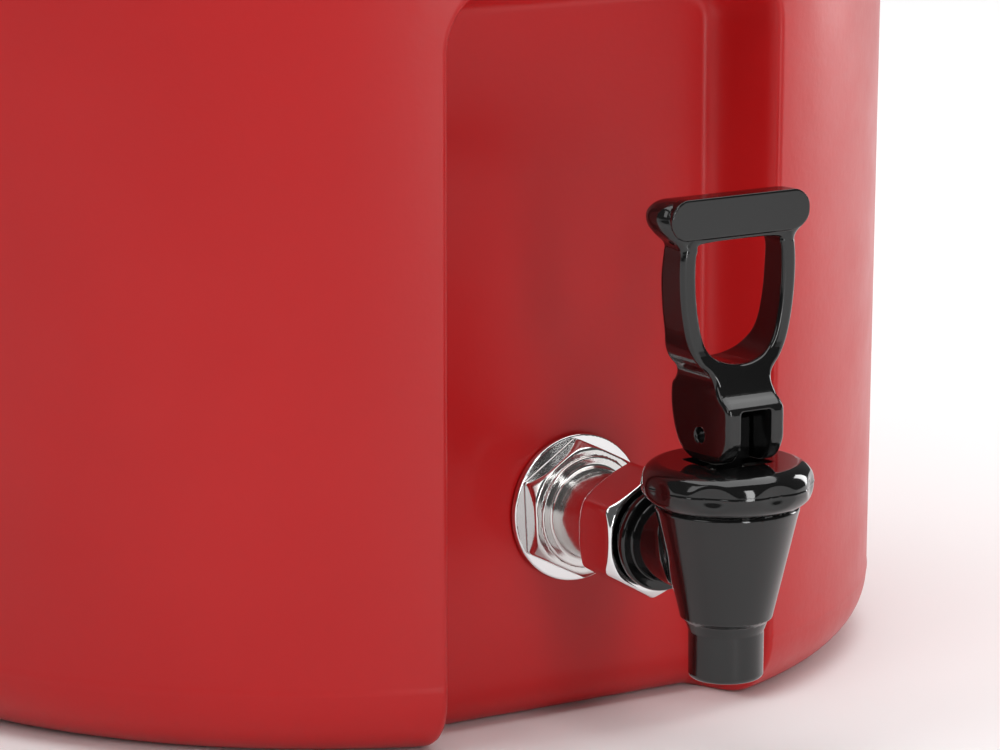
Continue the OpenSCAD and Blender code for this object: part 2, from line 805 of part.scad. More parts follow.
// The foot seen from above, with gently bowed cheeks
module foot_plan() {
    bow = 0.4;
    length = foot_front + foot_back;
    polygon(concat(
        [for (i = [0:8]) let(t = i / 4 - 1) [foot_w / 2 - bow * t * t, i / 8 * length - foot_front]],
        [for (i = [8:-1:0]) let(t = i / 4 - 1) [bow * t * t - foot_w / 2, i / 8 * length - foot_front]]));
}

module tap_lever() {
    blind_x = -foot_w / 2 + pin_wall;
    color("black") at_tap() translate([0, 0, lever_foot_z]) difference() {
        intersection() {
            translate([0, 2 * foot_r, 0]) rotate([90, 0, 0]) linear_extrude(4 * foot_r) lever_front();
            translate([-bar_w, 0, 0]) rotate([90, 0, 90]) linear_extrude(2 * bar_w) lever_profile();
            union() {
                linear_extrude(shoulder_z + 0.01) foot_plan();
                translate([-bar_w, -2 * foot_r, shoulder_z]) cube([2 * bar_w, 4 * foot_r, lever_h]);
            }
        }
        translate([-slot_w / 2, -foot_r - over, -over])
            cube([slot_w, foot_r + over + slot_back, slot_top + over]);
        translate([blind_x, 0, pin_above]) rotate([0, 90, 0]) cylinder(r = pin_r + run, h = foot_w);
    }
}

module lever_pin() {
    blind_x = -foot_w / 2 + pin_wall + 0.2;
    color("silver") at_tap() translate([blind_x, 0, lever_pin_z]) rotate([0, 90, 0])
        cylinder(r = pin_r, h = foot_w / 2 - blind_x - 0.6);
}

// ---------------------------------------------------------------- what is drawn

drum_shell();
drum_liner();
drum_foam();
foam_plugs();
lid_shell();
lid_pan();
lid_foam();
lid_gasket();
vent_bush();
vent_nut();
vent_seal();
vent_cap();
latch_bracket("front");  // latch_bracket_front
latch_pin("front");  // latch_pin_front
latch_arm("front");  // latch_arm_front
latch_screws("front");  // latch_screws_front
catch("front");  // catch_front
catch_screws("front");  // catch_screws_front
latch_bracket("back");  // latch_bracket_back
latch_pin("back");  // latch_pin_back
latch_arm("back");  // latch_arm_back
latch_screws("back");  // latch_screws_back
catch("back");  // catch_back
catch_screws("back");  // catch_screws_back
carry_bracket("left");  // carry_bracket_left
carry_handle("left");  // carry_handle_left
carry_pins("left");  // carry_pins_left
carry_screws("left");  // carry_screws_left
carry_bracket("right");  // carry_bracket_right
carry_handle("right");  // carry_handle_right
carry_pins("right");  // carry_pins_right
carry_screws("right");  // carry_screws_right
shank();
flange_washer();
outer_gasket();
inner_gasket();
inner_nut();
coupling_nut();
seat_washer();
thrust_ring();
tap_body();
bonnet();
bonnet_gasket();
valve_stem();
seat_cup();
valve_spring();
tap_lever();
lever_pin();
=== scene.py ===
"""Looks of a round insulated beverage dispenser with a gloss black tap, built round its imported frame."""
import json
import math

import bpy
import numpy as np
from mathutils import Matrix, Vector


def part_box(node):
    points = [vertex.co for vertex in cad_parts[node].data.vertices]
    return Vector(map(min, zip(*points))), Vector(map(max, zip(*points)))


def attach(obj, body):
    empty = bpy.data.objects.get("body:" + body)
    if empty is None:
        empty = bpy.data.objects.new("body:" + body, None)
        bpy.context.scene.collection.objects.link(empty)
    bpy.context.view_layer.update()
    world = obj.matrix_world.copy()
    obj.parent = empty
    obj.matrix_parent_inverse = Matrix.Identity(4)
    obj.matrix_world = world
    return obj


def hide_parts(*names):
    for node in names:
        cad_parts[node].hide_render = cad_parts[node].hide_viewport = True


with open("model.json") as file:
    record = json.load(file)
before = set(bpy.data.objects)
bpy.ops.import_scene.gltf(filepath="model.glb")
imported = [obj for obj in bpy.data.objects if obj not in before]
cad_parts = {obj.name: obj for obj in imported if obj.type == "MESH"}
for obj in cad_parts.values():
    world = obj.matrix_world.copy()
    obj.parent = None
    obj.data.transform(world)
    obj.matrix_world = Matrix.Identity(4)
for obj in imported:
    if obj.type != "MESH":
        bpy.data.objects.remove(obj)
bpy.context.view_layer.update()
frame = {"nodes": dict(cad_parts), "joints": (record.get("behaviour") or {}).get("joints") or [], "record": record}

MM = 0.001
GOLDEN_TURN = math.pi * (3 - math.sqrt(5))


# ---------------------------------------------------------------- places, in millimetres, from the frame

def node_box(node):
    """Lowest and highest corner of a frame node, in millimetres."""
    low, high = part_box(node)
    return np.array(low) / MM, np.array(high) / MM


def centre(node):
    low, high = node_box(node)
    return (low + high) / 2


def joint_point(name):
    return np.array(next(j for j in frame["joints"] if j["name"] == name)["pos_m"]) / MM


SHELL_HIGH = node_box("drum_shell")[1]
LINER_LOW, LINER_HIGH = node_box("drum_liner")
LID_LOW, LID_HIGH = node_box("lid_shell")
GASKET_HIGH = node_box("lid_gasket")[1]
RIM_Z = LINER_HIGH[2]
DRAFT = 0.008
BASE_FILLET = 15.0
STEP_Z = LID_LOW[2] - 0.5
TOP_R = SHELL_HIGH[0]
DRUM_R = TOP_R - DRAFT * (STEP_Z - BASE_FILLET)
SPIGOT_R = LINER_HIGH[0]
WELL_R = GASKET_HIGH[0] - 15.7
WELL_FLOOR = LINER_LOW[2] + 4.5
WELL_FILLET = 14.0

SHANK_Z = centre("shank")[2]
RECESS_Y = -node_box("outer_gasket")[1][1]
RECESS_HALF = 36.6
RECESS_LEAN = math.radians(20)
RECESS_TOP = 163.0
RECESS_CORNER = 8.0
TOE_R = 11.0

TAP_Y = centre("bonnet")[1]
LEVER_FOOT = node_box("tap_lever")[0][2]
LEVER_H = node_box("tap_lever")[1][2] - LEVER_FOOT
BAR_HALF = node_box("tap_lever")[1][0]


# ---------------------------------------------------------------- distance fields and their meshes

def smooth_max(a, b, k):
    """Larger of two fields, with their meeting edge rounded over a width k."""
    h = np.maximum(k - np.abs(a - b), 0) / k
    return np.maximum(a, b) + h * h * k / 4


def smooth_min(a, b, k):
    return -smooth_max(-a, -b, k)


def ball(x, y, z, c, r):
    return np.sqrt((x - c[0]) ** 2 + (y - c[1]) ** 2 + (z - c[2]) ** 2) - r


def brick(x, y, z, c, half, r=0.0):
    """A box with centre c and half sizes half, its edges rounded by r."""
    q = [np.abs(v - m) - h + r for v, m, h in zip((x, y, z), c, half)]
    out = np.sqrt(sum(np.maximum(v, 0) ** 2 for v in q))
    return out + np.minimum(np.maximum(np.maximum(q[0], q[1]), q[2]), 0) - r


def rod(a, b, t, r, t0, t1, edge=0.0):
    """A cylinder of radius r round (a, b) = 0, between t0 and t1 along t, its end edges rounded."""
    d = np.sqrt(a * a + b * b) - r + edge
    e = np.abs(t - (t0 + t1) / 2) - (t1 - t0) / 2 + edge
    out = np.sqrt(np.maximum(d, 0) ** 2 + np.maximum(e, 0) ** 2)
    return out + np.minimum(np.maximum(d, e), 0) - edge


def outline_field(u, v, points):
    """Distance to a closed outline in the plane, negative inside."""
    u, v = np.broadcast_arrays(u, v)
    best = np.full(u.shape, 1e18)
    inside = np.zeros(u.shape, bool)
    for (u0, v0), (u1, v1) in zip(points, np.roll(points, -1, axis=0)):
        du, dv = u1 - u0, v1 - v0
        t = np.clip(((u - u0) * du + (v - v0) * dv) / (du * du + dv * dv + 1e-12), 0, 1)
        best = np.minimum(best, (u - u0 - t * du) ** 2 + (v - v0 - t * dv) ** 2)
        crosses = (v0 <= v) != (v1 <= v)
        inside ^= crosses & (u < u0 + (v - v0) / (dv if abs(dv) > 1e-12 else 1e-12) * du)
    return np.where(inside, -1, 1) * np.sqrt(best)


def flowing(points, steps=6):
    """A closed smooth line through the points."""
    points = np.array(points, float)
    out = []
    for i in range(len(points)):
        p0, p1, p2, p3 = (points[(i + k - 1) % len(points)] for k in range(4))
        for s in range(steps):
            t = s / steps
            out.append(0.5 * (2 * p1 + (p2 - p0) * t + (2 * p0 - 5 * p1 + 4 * p2 - p3) * t * t
                              + (3 * p1 - p0 - 3 * p2 + p3) * t ** 3))
    return np.array(out)


def gradient(field, p, step=0.02):
    out = np.empty_like(p)
    for i in range(3):
        q = [p[:, 0], p[:, 1], p[:, 2]]
        q[i] = p[:, i] + step
        ahead = field(*q)
        q[i] = p[:, i] - step
        out[:, i] = (ahead - field(*q)) / (2 * step)
    return out


def net(field, low, high, cell):
    """Vertices and quads on the zero level of a field, inside the box from low to high."""
    low, high = np.array(low, float), np.array(high, float)
    counts = np.ceil((high - low) / cell).astype(int) + 1
    lines = [low[i] + cell * np.arange(counts[i]) for i in range(3)]
    x, y, z = (l.reshape([-1 if i == k else 1 for k in range(3)]) for i, l in enumerate(lines))
    value = np.array(np.broadcast_to(field(x, y, z), counts))
    inside = value < 0
    cells = counts - 1
    total, hits = np.zeros((*cells, 3)), np.zeros(cells)
    for axis in range(3):
        b, c = [i for i in range(3) if i != axis]
        for ob in (0, 1):
            for oc in (0, 1):
                take = [None] * 3
                take[axis] = slice(0, cells[axis])
                take[b], take[c] = slice(ob, ob + cells[b]), slice(oc, oc + cells[c])
                far = list(take)
                far[axis] = slice(1, cells[axis] + 1)
                v0, v1 = value[tuple(take)], value[tuple(far)]
                cross = (v0 < 0) != (v1 < 0)
                share = np.where(cross, v0 / np.where(cross, v0 - v1, 1), 0)
                total[..., axis] += share
                total[..., b] += ob * cross
                total[..., c] += oc * cross
                hits += cross
    used = hits > 0
    number = np.full(cells, -1)
    number[used] = np.arange(used.sum())
    where = np.argwhere(used)
    p = low + cell * (where + total[used] / hits[used][:, None])
    quads = []
    for axis in range(3):
        b, c = (axis + 1) % 3, (axis + 2) % 3
        near = [slice(1, -1)] * 3
        near[axis] = slice(0, cells[axis])
        far = list(near)
        far[axis] = slice(1, cells[axis] + 1)
        a_in, b_in = inside[tuple(near)], inside[tuple(far)]
        spots = np.argwhere(a_in != b_in)
        flip = b_in[tuple(spots.T)]
        spots[:, b] += 1
        spots[:, c] += 1
        ring = []
        for db, dc in ((0, 0), (-1, 0), (-1, -1), (0, -1)):
            q = spots.copy()
            q[:, b] += db
            q[:, c] += dc
            ring.append(number[tuple(q.T)])
        ring = np.stack(ring, 1)
        ring[flip] = ring[flip][:, ::-1]
        quads.append(ring)
    for _ in range(3):
        g = gradient(field, p)
        move = field(p[:, 0], p[:, 1], p[:, 2])[:, None] * g / np.maximum((g * g).sum(1), 0.3)[:, None]
        p = p - np.clip(move, -cell / 2, cell / 2)
    return p, np.concatenate(quads)


def mesh_object(name, points, faces, normals=None):
    """A smooth shaded object from points in millimetres."""
    mesh = bpy.data.meshes.new(name)
    mesh.from_pydata((np.asarray(points) * MM).tolist(), [], np.asarray(faces).tolist()
                     if isinstance(faces, np.ndarray) else faces)
    mesh.polygons.foreach_set("use_smooth", [True] * len(mesh.polygons))
    if normals is not None:
        mesh.normals_split_custom_set_from_vertices(normals.tolist())
    obj = bpy.data.objects.new(name, mesh)
    bpy.context.scene.collection.objects.link(obj)
    return obj


def carved(name, field, low, high, cell):
    """An object on the zero level of a field, shaded with the field's own normals."""
    p, quads = net(field, low, high, cell)
    g = gradient(field, p)
    g /= np.linalg.norm(g, axis=1)[:, None]
    return mesh_object(name, p, quads, g)


def lathe(name, outline, sides=256, axis_at=(0, 0)):
    """Turns a closed (radius, height) outline round a vertical axis. Radius 0 makes a pole."""
    points, faces, rows = [], [], []
    for r, z in outline:
        if r < 1e-6:
            rows.append([len(points)] * sides)
            points.append((axis_at[0], axis_at[1], z))
        else:
            rows.append(list(range(len(points), len(points) + sides)))
            points += [(axis_at[0] + r * math.cos(a), axis_at[1] + r * math.sin(a), z)
                       for a in np.linspace(0, 2 * math.pi, sides, endpoint=False)]
    for low, high in zip(rows, rows[1:] + rows[:1]):
        for i in range(sides):
            k = (i + 1) % sides
            face = list(dict.fromkeys([low[i], low[k], high[k], high[i]]))
            if len(face) > 2:
                faces.append(face)
    return mesh_object(name, points, faces)


def rounded(points, radii, steps=6):
    """A closed outline whose corners are replaced by arcs of the given radii, in order."""
    out = []
    n = len(points)
    for i in range(n):
        p, a, b = (np.array(points[k % n], float) for k in (i, i - 1, i + 1))
        r = radii[i] if isinstance(radii, (list, tuple)) else radii
        u, v = a - p, b - p
        lu, lv = np.linalg.norm(u), np.linalg.norm(v)
        u, v = u / lu, v / lv
        angle = math.acos(float(np.clip(u @ v, -1, 1)))
        cut = min(r / math.tan(angle / 2) if angle < math.pi - 1e-3 else 0, 0.49 * lu, 0.49 * lv)
        if r <= 0 or cut <= 0:
            out.append(tuple(p))
            continue
        for s in range(steps + 1):
            t = s / steps
            out.append(tuple((1 - t) ** 2 * (p + u * cut) + 2 * t * (1 - t) * p + t * t * (p + v * cut)))
    return out


def turned_copy(source, name, angle):
    """The same piece turned about the vertical axis."""
    copy = source.copy()
    copy.data = source.data.copy()
    copy.name = name
    copy.data.transform(Matrix.Rotation(angle, 4, "Z"))
    bpy.context.scene.collection.objects.link(copy)
    return copy


# ---------------------------------------------------------------- materials

class Shader:
    """A node material under construction."""

    def __init__(self, name, **values):
        self.material = bpy.data.materials.new(name)
        self.material.use_nodes = True
        self.nodes = self.material.node_tree.nodes
        self.links = self.material.node_tree.links
        self.main = self.nodes["Principled BSDF"]
        for key, value in values.items():
            self.main.inputs[key.replace("_", " ")].default_value = value

    def add(self, kind, **values):
        node = self.nodes.new(kind)
        for key, value in values.items():
            if hasattr(node, key):
                setattr(node, key, value)
            else:
                node.inputs[key.replace("_", " ")].default_value = value
        return node

    def place(self, scale=(1, 1, 1)):
        """Object coordinates, stretched."""
        coords = self.add("ShaderNodeTexCoord")
        mapping = self.add("ShaderNodeMapping")
        mapping.inputs["Scale"].default_value = scale
        self.links.new(coords.outputs["Object"], mapping.inputs["Vector"])
        return mapping.outputs["Vector"]

    def noise(self, scale, detail=3.0, rough=0.5, stretch=(1, 1, 1)):
        node = self.add("ShaderNodeTexNoise", Scale=scale, Detail=detail, Roughness=rough)
        self.links.new(self.place(stretch), node.inputs["Vector"])
        return node.outputs["Fac"]

    def ramp(self, value, stops):
        node = self.add("ShaderNodeValToRGB")
        ramp = node.color_ramp
        while len(ramp.elements) < len(stops):
            ramp.elements.new(0.5)
        for element, (place, colour) in zip(ramp.elements, stops):
            element.position = place
            element.color = (*colour, 1) if isinstance(colour, tuple) else (colour,) * 3 + (1,)
        self.links.new(value, node.inputs["Fac"])
        return node.outputs["Color"]

    def math(self, operation, a, b):
        node = self.add("ShaderNodeMath", operation=operation)
        for i, value in enumerate((a, b)):
            if isinstance(value, (int, float)):
                node.inputs[i].default_value = value
            else:
                self.links.new(value, node.inputs[i])
        return node.outputs[0]

    def bump(self, *layers):
        """Layers of (height, strength, distance in metres)."""
        normal = None
        for height, strength, distance in layers:
            node = self.add("ShaderNodeBump", Strength=strength, Distance=distance)
            self.links.new(height, node.inputs["Height"])
            if normal:
                self.links.new(normal, node.inputs["Normal"])
            normal = node.outputs["Normal"]
        self.links.new(normal, self.main.inputs["Normal"])

    def feed(self, socket, output):
        self.links.new(output, self.main.inputs[socket])


def red_plastic():
    """Satin rotationally moulded polyethylene with a fine orange peel."""
    s = Shader("red_polyethylene", Specular_IOR_Level=0.36)
    cloud = s.noise(9, 3, 0.55)
    s.feed("Base Color", s.ramp(cloud, [(0.3, (0.42, 0.004, 0.005)), (0.7, (0.47, 0.007, 0.008))]))
    s.feed("Roughness", s.ramp(s.noise(60, 4, 0.6), [(0.3, 0.30), (0.7, 0.38)]))
    s.bump((s.noise(700, 2, 0.5), 0.20, 0.00012), (s.noise(170, 2, 0.5), 0.16, 0.0004),
           (s.noise(22, 2, 0.5), 0.10, 0.002))
    return s.material


def gloss_black():
    s = Shader("gloss_black_plastic", Roughness=0.06, Specular_IOR_Level=0.5)
    s.feed("Base Color",
           s.ramp(s.noise(40, 2), [(0.3, (0.004, 0.004, 0.004)), (0.7, (0.007, 0.007, 0.007))]))
    s.feed("Roughness", s.ramp(s.noise(300, 3), [(0.3, 0.05), (0.75, 0.10)]))
    s.bump((s.noise(110, 1, 0.3), 0.06, 0.0003), (s.noise(900, 2), 0.03, 0.00005))
    return s.material


def black_nylon():
    s = Shader("black_nylon", Specular_IOR_Level=0.45)
    s.feed("Base Color",
           s.ramp(s.noise(30, 3), [(0.3, (0.010, 0.010, 0.011)), (0.7, (0.018, 0.018, 0.019))]))
    s.feed("Roughness", s.ramp(s.noise(400, 3), [(0.3, 0.32), (0.7, 0.44)]))
    s.bump((s.noise(1600, 2, 0.6), 0.30, 0.00010), (s.noise(90, 2), 0.06, 0.0004))
    return s.material


def bright_chrome():
    s = Shader("bright_chrome", Metallic=1.0)
    s.feed("Base Color", s.ramp(s.noise(25, 2), [(0.3, (0.70, 0.70, 0.71)), (0.7, (0.78, 0.78, 0.78))]))
    s.feed("Roughness", s.ramp(s.noise(260, 4, 0.6), [(0.35, 0.05), (0.75, 0.12)]))
    s.bump((s.noise(160, 2, 0.4), 0.05, 0.0003))
    return s.material


def satin_steel():
    s = Shader("satin_steel", Metallic=1.0)
    s.feed("Base Color", s.ramp(s.noise(30, 2), [(0.3, (0.58, 0.57, 0.56)), (0.7, (0.70, 0.69, 0.68))]))
    s.feed("Roughness", s.ramp(s.noise(500, 3), [(0.3, 0.11), (0.7, 0.19)]))
    s.bump((s.noise(300, 2, 0.5), 0.05, 0.0002))
    return s.material


def soft_rubber(name, dark, light):
    s = Shader(name, Specular_IOR_Level=0.3)
    s.feed("Base Color", s.ramp(s.noise(80, 3), [(0.3, dark), (0.7, light)]))
    s.feed("Roughness", s.ramp(s.noise(600, 3), [(0.3, 0.55), (0.7, 0.75)]))
    s.bump((s.noise(1200, 2), 0.2, 0.0001))
    return s.material


def insulating_foam():
    s = Shader("rigid_foam", Specular_IOR_Level=0.2, Roughness=0.9)
    s.feed("Base Color", s.ramp(s.noise(300, 5), [(0.3, (0.62, 0.52, 0.30)), (0.7, (0.80, 0.72, 0.48))]))
    s.bump((s.noise(900, 4), 0.5, 0.0004))
    return s.material


FINISH = {
    "red_shell": red_plastic(),
    "tap_black": gloss_black(),
    "black_nylon": black_nylon(),
    "bright_nut": bright_chrome(),
    "satin_shank": satin_steel(),
    "screw_steel": satin_steel(),
    "spring_steel": satin_steel(),
    "pale_silicone": soft_rubber("pale_silicone", (0.60, 0.60, 0.57), (0.70, 0.70, 0.66)),
    "black_rubber": soft_rubber("black_rubber", (0.010, 0.010, 0.010), (0.020, 0.020, 0.020)),
    "insulation": insulating_foam(),
}
SLOT_OF = {p["node"]: p["material_slot"] for p in frame["record"]["subparts"]}
BODY_OF = {n: b for b, ns in frame["record"]["behaviour"]["bodies"].items() for n in ns}

for node, obj in frame["nodes"].items():
    obj.data.materials.clear()
    obj.data.materials.append(FINISH[SLOT_OF[node]])


def finished(obj, node, *more):
    """obj takes the place, finish and body of a frame node, and of any more nodes."""
    obj.data.materials.clear()
    obj.data.materials.append(FINISH[SLOT_OF[node]])
    obj.data.polygons.foreach_set("material_index", [0] * len(obj.data.polygons))
    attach(obj, BODY_OF[node])
    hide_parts(node, *more)
    return obj


# ---------------------------------------------------------------- drum

def side_r(z):
    """Radius of the drum's outside at a height, its foot rounding included."""
    if z < BASE_FILLET:
        rise = BASE_FILLET - z
        return DRUM_R - BASE_FILLET + math.sqrt(max(BASE_FILLET ** 2 - rise ** 2, 0))
    return DRUM_R + DRAFT * (z - BASE_FILLET)


def recess_depth_at(x, z):
    """Distance of the recess's surface from the axis, and how far outside its floor's outline a place is."""
    corner = RECESS_CORNER
    qx, qz = np.abs(x) - RECESS_HALF + corner, z - RECESS_TOP + corner
    beyond = (np.sqrt(np.maximum(qx, 0) ** 2 + np.maximum(qz, 0) ** 2)
              + np.minimum(np.maximum(qx, qz), 0) - corner)
    wall = beyond / math.tan(RECESS_LEAN)
    rise = smooth_max(wall, 0 * wall, 7.0)
    toe = np.where(z < TOE_R, TOE_R - np.sqrt(np.maximum(TOE_R ** 2 - (TOE_R - z) ** 2, 0)), 0)
    crown = 0.25 * np.cos(np.clip(x / RECESS_HALF, -1, 1) * math.pi / 2)
    return RECESS_Y + rise - toe + crown, beyond


def drum_mesh():
    """The drum as one closed skin: base, foot, side with the tap's recess, rim and well."""
    half_front = 52.0
    xs = np.concatenate([np.arange(0, 33, 1.5), np.arange(33, 50, 0.35), [half_front]])
    front = np.concatenate([-xs[:0:-1], xs])
    around = np.radians(np.linspace(0, 360, 241)[1:-1])
    low_z = [BASE_FILLET * (1 - math.cos(a)) for a in np.linspace(0, math.pi / 2, 22)]
    line = np.concatenate([np.arange(15.6, 20, 0.8), np.arange(21, 150, 2.0), np.arange(150, 176, 0.45),
                           np.arange(177, STEP_Z - 2, 4.0), [STEP_Z - 1.2, STEP_Z]])
    heights = np.array(low_z + list(line))
    columns = len(front) + len(around)
    points, rows = [], []
    for z in heights:
        r = side_r(z)
        start = math.asin(half_front / r)
        span = around / (2 * math.pi) * (2 * math.pi - 2 * start) + start
        d, beyond = recess_depth_at(front, np.full(len(front), z))
        round_d = np.sqrt(r * r - front ** 2)
        front_y = smooth_min(round_d, d, 4.5)
        edge = np.exp(-((front_y - round_d + 0.9) / 0.5) ** 2) * (z > 3) * (beyond > 2)
        front_y = front_y + 0.16 * edge
        ridge = 0.18 * math.exp(-((z - 15.6) / 0.5) ** 2)
        row = [(x, -y - ridge * (b > 6), z) for x, y, b in zip(front, front_y, beyond)]
        row += [((r + ridge) * math.sin(a), -(r + ridge) * math.cos(a), z) for a in span]
        rows.append(list(range(len(points), len(points) + columns)))
        points += row
    foot = np.array(points[:columns])
    under = []
    for share in (0.985, 0.9, 0.6, 0.25):
        under.append(list(range(len(points), len(points) + columns)))
        points += [(p[0] * share, p[1] * share, 0.0) for p in foot]
    rows = under[::-1] + rows
    angles = [math.atan2(p[0], -p[1]) for p in points[rows[-1][0]:rows[-1][0] + columns]]
    upper = rounded([(TOP_R, STEP_Z), (SPIGOT_R, STEP_Z), (SPIGOT_R, RIM_Z), (WELL_R, RIM_Z),
                     (WELL_R, WELL_FLOOR), (1, WELL_FLOOR)], [0, 1, 2, 2.5, WELL_FILLET, 0], 8)[1:]
    upper.insert(0, (TOP_R - 1.2, STEP_Z))
    for r, z in upper:
        rows.append(list(range(len(points), len(points) + columns)))
        points += [(r * math.sin(a), -r * math.cos(a), z) for a in angles]
    faces = []
    for low, high in zip(rows, rows[1:]):
        for i in range(columns):
            k = (i + 1) % columns
            faces.append((low[i], low[k], high[k], high[i]))
    for ring, z, flip in ((rows[0], 0.0, True), (rows[-1], WELL_FLOOR, False)):
        hub = len(points)
        points.append((0, 0, z))
        for i in range(columns):
            a, b = ring[i], ring[(i + 1) % columns]
            faces.append((b, a, hub) if flip else (a, b, hub))
    drum = mesh_object("drum_moulding", points, faces)
    drill = lathe("drill", [(0, -60), (9.3, -60), (9.3, 60), (0, 60)], 64)
    hole_at = Matrix.Translation((0, -RECESS_Y * MM, SHANK_Z * MM))
    drill.matrix_world = hole_at @ Matrix.Rotation(math.pi / 2, 4, "X")
    cut = drum.modifiers.new("shank_hole", "BOOLEAN")
    cut.object, cut.operation, cut.solver = drill, "DIFFERENCE", "MANIFOLD"
    bpy.context.view_layer.update()
    graph = bpy.context.evaluated_depsgraph_get()
    baked = bpy.data.meshes.new_from_object(drum.evaluated_get(graph))
    drum.modifiers.clear()
    drum.data = baked
    bpy.data.objects.remove(drill)
    return drum


finished(drum_mesh(), "drum_shell", "drum_liner")


# ---------------------------------------------------------------- lid

def lid_mesh():
    """The lid as one closed skin of revolution, with a dished top, a bead and a plug."""
    top, low, r = LID_HIGH[2], LID_LOW[2], LID_HIGH[0]
    rise = RIM_Z - node_box("lid_pan")[0][2]
    dish = r - 31
    points = [(8.2, top - 8), (8.2, RIM_Z - rise), (WELL_R - 1.5, RIM_Z - rise),
              (WELL_R - 1.5, RIM_Z + 1),
              (WELL_R + 6, RIM_Z + 1), (WELL_R + 6, RIM_Z + 3), (WELL_R + 16, RIM_Z + 3),
              (WELL_R + 16, RIM_Z + 1),
              (SPIGOT_R + 0.7, RIM_Z + 1), (SPIGOT_R + 0.7, low), (r, low), (r, low + 9),
              (r - 0.7, low + 9.8),
              (r - 0.7, low + 11), (r, low + 11.8), (r, top), (dish + 5, top), (dish - 1, top - 8),
              (dish - 22, top - 8), (dish - 23.5, top - 7), (dish - 26.5, top - 7), (dish - 28, top - 8)]
    radii = [0.4, 0.8, 3, 0.6, 0.6, 0.5, 0.5, 0.6, 1, 1.2, 1.8, 0.5, 0.5, 0.5, 0.5, 12, 5, 6, 1, 1, 1, 1]
    return lathe("lid_moulding", rounded(points, radii, 7), 320)


finished(lid_mesh(), "lid_shell", "lid_pan")


def vent_mesh():
    """The vent's ribbed cap."""
    low, high = node_box("vent_cap")

    def field(x, y, z):
        body = rod(x, y, z, 15.8, low[2], high[2], 2.6)
        a = np.arctan2(y, x)
        r = np.sqrt(x * x + y * y)
        ribs = r - 15.1 - 0.65 * np.cos(a * 24) * np.clip((high[2] - 1.5 - z) / 3, 0, 1)
        bore = rod(x, y, z, 7.1, low[2] - 5, high[2] - 4.4, 0.3)
        dimple = rod(x, y, z, 9.5, high[2] - 0.7, high[2] + 5, 0.4)
        return smooth_max(smooth_max(smooth_max(body, ribs, 0.8), -bore, 0.4), -dimple, 0.6)

    return carved("vent_knob", field, (-17, -17, low[2] - 1), (17, 17, high[2] + 1), 0.45)


finished(vent_mesh(), "vent_cap")


# ---------------------------------------------------------------- latches and catches

